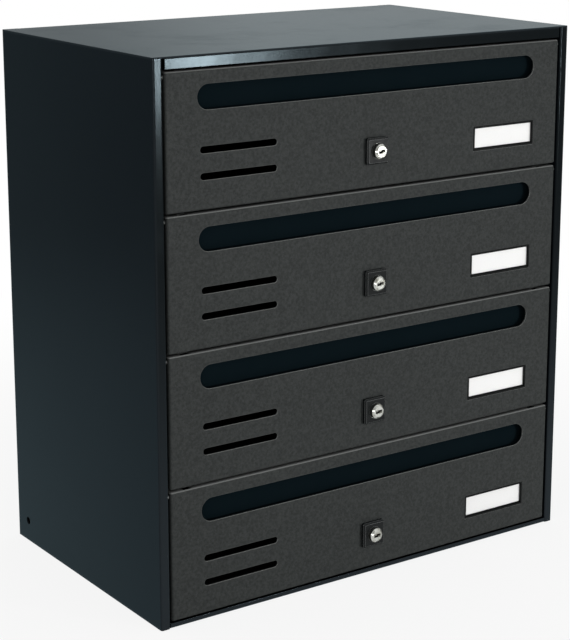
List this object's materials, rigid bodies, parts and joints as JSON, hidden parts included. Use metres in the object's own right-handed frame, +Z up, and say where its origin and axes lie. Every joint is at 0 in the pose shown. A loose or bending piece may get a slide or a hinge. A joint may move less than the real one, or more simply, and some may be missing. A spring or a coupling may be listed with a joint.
{
  "type": "cluster mailbox",
  "caption": "Sheet-steel bank of stacked letter boxes: top-hung doors with mail slots backed by gravity flaps, look-in vents, cam locks and name cards.",
  "frame": {"origin": "middle of the base, on the surface that the cabinet stands on", "axes": "+Z up, front of the doors towards -Y, +X to the right seen from the front"},
  "size_m": [0.4, 0.2481, 0.436],
  "materials": {
    "cabinet_paint": "semi-gloss blue-black powder coat",
    "door_paint": "fine-textured charcoal powder coat",
    "black_plastic": "satin black",
    "nickel": "nickel plate",
    "zinc": "bright zinc plate",
    "card": "plain white card"
  },
  "bodies": {
    "cabinet": {"left_side_panel": "cabinet_paint", "right_side_panel": "cabinet_paint", "top_panel": "cabinet_paint", "bottom_panel": "cabinet_paint", "back_panel": "cabinet_paint", "base_strike": "cabinet_paint", "shelf_1": "cabinet_paint", "shelf_2": "cabinet_paint", "shelf_3": "cabinet_paint"},
    "door_1": {"door_1": "door_paint", "hinge_pins_1": "zinc", "flap_rod_1": "zinc", "lock_bezel_1": "black_plastic", "lock_cylinder_1": "nickel", "lock_nut_1": "zinc", "name_holder_1": "black_plastic", "name_card_1": "card"},
    "flap_1": {"letter_flap_1": "cabinet_paint"},
    "lock_1": {"lock_plug_1": "nickel", "lock_cam_1": "zinc", "cam_screw_1": "zinc"},
    "door_2": {"door_2": "door_paint", "hinge_pins_2": "zinc", "flap_rod_2": "zinc", "lock_bezel_2": "black_plastic", "lock_cylinder_2": "nickel", "lock_nut_2": "zinc", "name_holder_2": "black_plastic", "name_card_2": "card"},
    "flap_2": {"letter_flap_2": "cabinet_paint"},
    "lock_2": {"lock_plug_2": "nickel", "lock_cam_2": "zinc", "cam_screw_2": "zinc"},
    "door_3": {"door_3": "door_paint", "hinge_pins_3": "zinc", "flap_rod_3": "zinc", "lock_bezel_3": "black_plastic", "lock_cylinder_3": "nickel", "lock_nut_3": "zinc", "name_holder_3": "black_plastic", "name_card_3": "card"},
    "flap_3": {"letter_flap_3": "cabinet_paint"},
    "lock_3": {"lock_plug_3": "nickel", "lock_cam_3": "zinc", "cam_screw_3": "zinc"},
    "door_4": {"door_4": "door_paint", "hinge_pins_4": "zinc", "flap_rod_4": "zinc", "lock_bezel_4": "black_plastic", "lock_cylinder_4": "nickel", "lock_nut_4": "zinc", "name_holder_4": "black_plastic", "name_card_4": "card"},
    "flap_4": {"letter_flap_4": "cabinet_paint"},
    "lock_4": {"lock_plug_4": "nickel", "lock_cam_4": "zinc", "cam_screw_4": "zinc"}
  },
  "joints": [
    {"name": "door_1_hinge", "type": "hinge", "parent": "cabinet", "child": "door_1", "pos_m": [0, -0.1157, 0.421], "axis": [-1, 0, 0], "range_deg": [0, 100]},
    {"name": "flap_1_swing", "type": "hinge", "parent": "door_1", "child": "flap_1", "pos_m": [0, -0.11552, 0.41868], "axis": [1, 0, 0], "range_deg": [0, 75]},
    {"name": "lock_1_turn", "type": "hinge", "parent": "door_1", "child": "lock_1", "pos_m": [0, -0.1197, 0.3505], "axis": [0, 1, 0], "range_deg": [0, 90]},
    {"name": "door_2_hinge", "type": "hinge", "parent": "cabinet", "child": "door_2", "pos_m": [0, -0.1157, 0.3155], "axis": [-1, 0, 0], "range_deg": [0, 100]},
    {"name": "flap_2_swing", "type": "hinge", "parent": "door_2", "child": "flap_2", "pos_m": [0, -0.11552, 0.31318], "axis": [1, 0, 0], "range_deg": [0, 75]},
    {"name": "lock_2_turn", "type": "hinge", "parent": "door_2", "child": "lock_2", "pos_m": [0, -0.1197, 0.245], "axis": [0, 1, 0], "range_deg": [0, 90]},
    {"name": "door_3_hinge", "type": "hinge", "parent": "cabinet", "child": "door_3", "pos_m": [0, -0.1157, 0.21], "axis": [-1, 0, 0], "range_deg": [0, 100]},
    {"name": "flap_3_swing", "type": "hinge", "parent": "door_3", "child": "flap_3", "pos_m": [0, -0.11552, 0.20768], "axis": [1, 0, 0], "range_deg": [0, 75]},
    {"name": "lock_3_turn", "type": "hinge", "parent": "door_3", "child": "lock_3", "pos_m": [0, -0.1197, 0.1395], "axis": [0, 1, 0], "range_deg": [0, 90]},
    {"name": "door_4_hinge", "type": "hinge", "parent": "cabinet", "child": "door_4", "pos_m": [0, -0.1157, 0.1045], "axis": [-1, 0, 0], "range_deg": [0, 100]},
    {"name": "flap_4_swing", "type": "hinge", "parent": "door_4", "child": "flap_4", "pos_m": [0, -0.11552, 0.10218], "axis": [1, 0, 0], "range_deg": [0, 75]},
    {"name": "lock_4_turn", "type": "hinge", "parent": "door_4", "child": "lock_4", "pos_m": [0, -0.1197, 0.034], "axis": [0, 1, 0], "range_deg": [0, 90]}
  ]
}
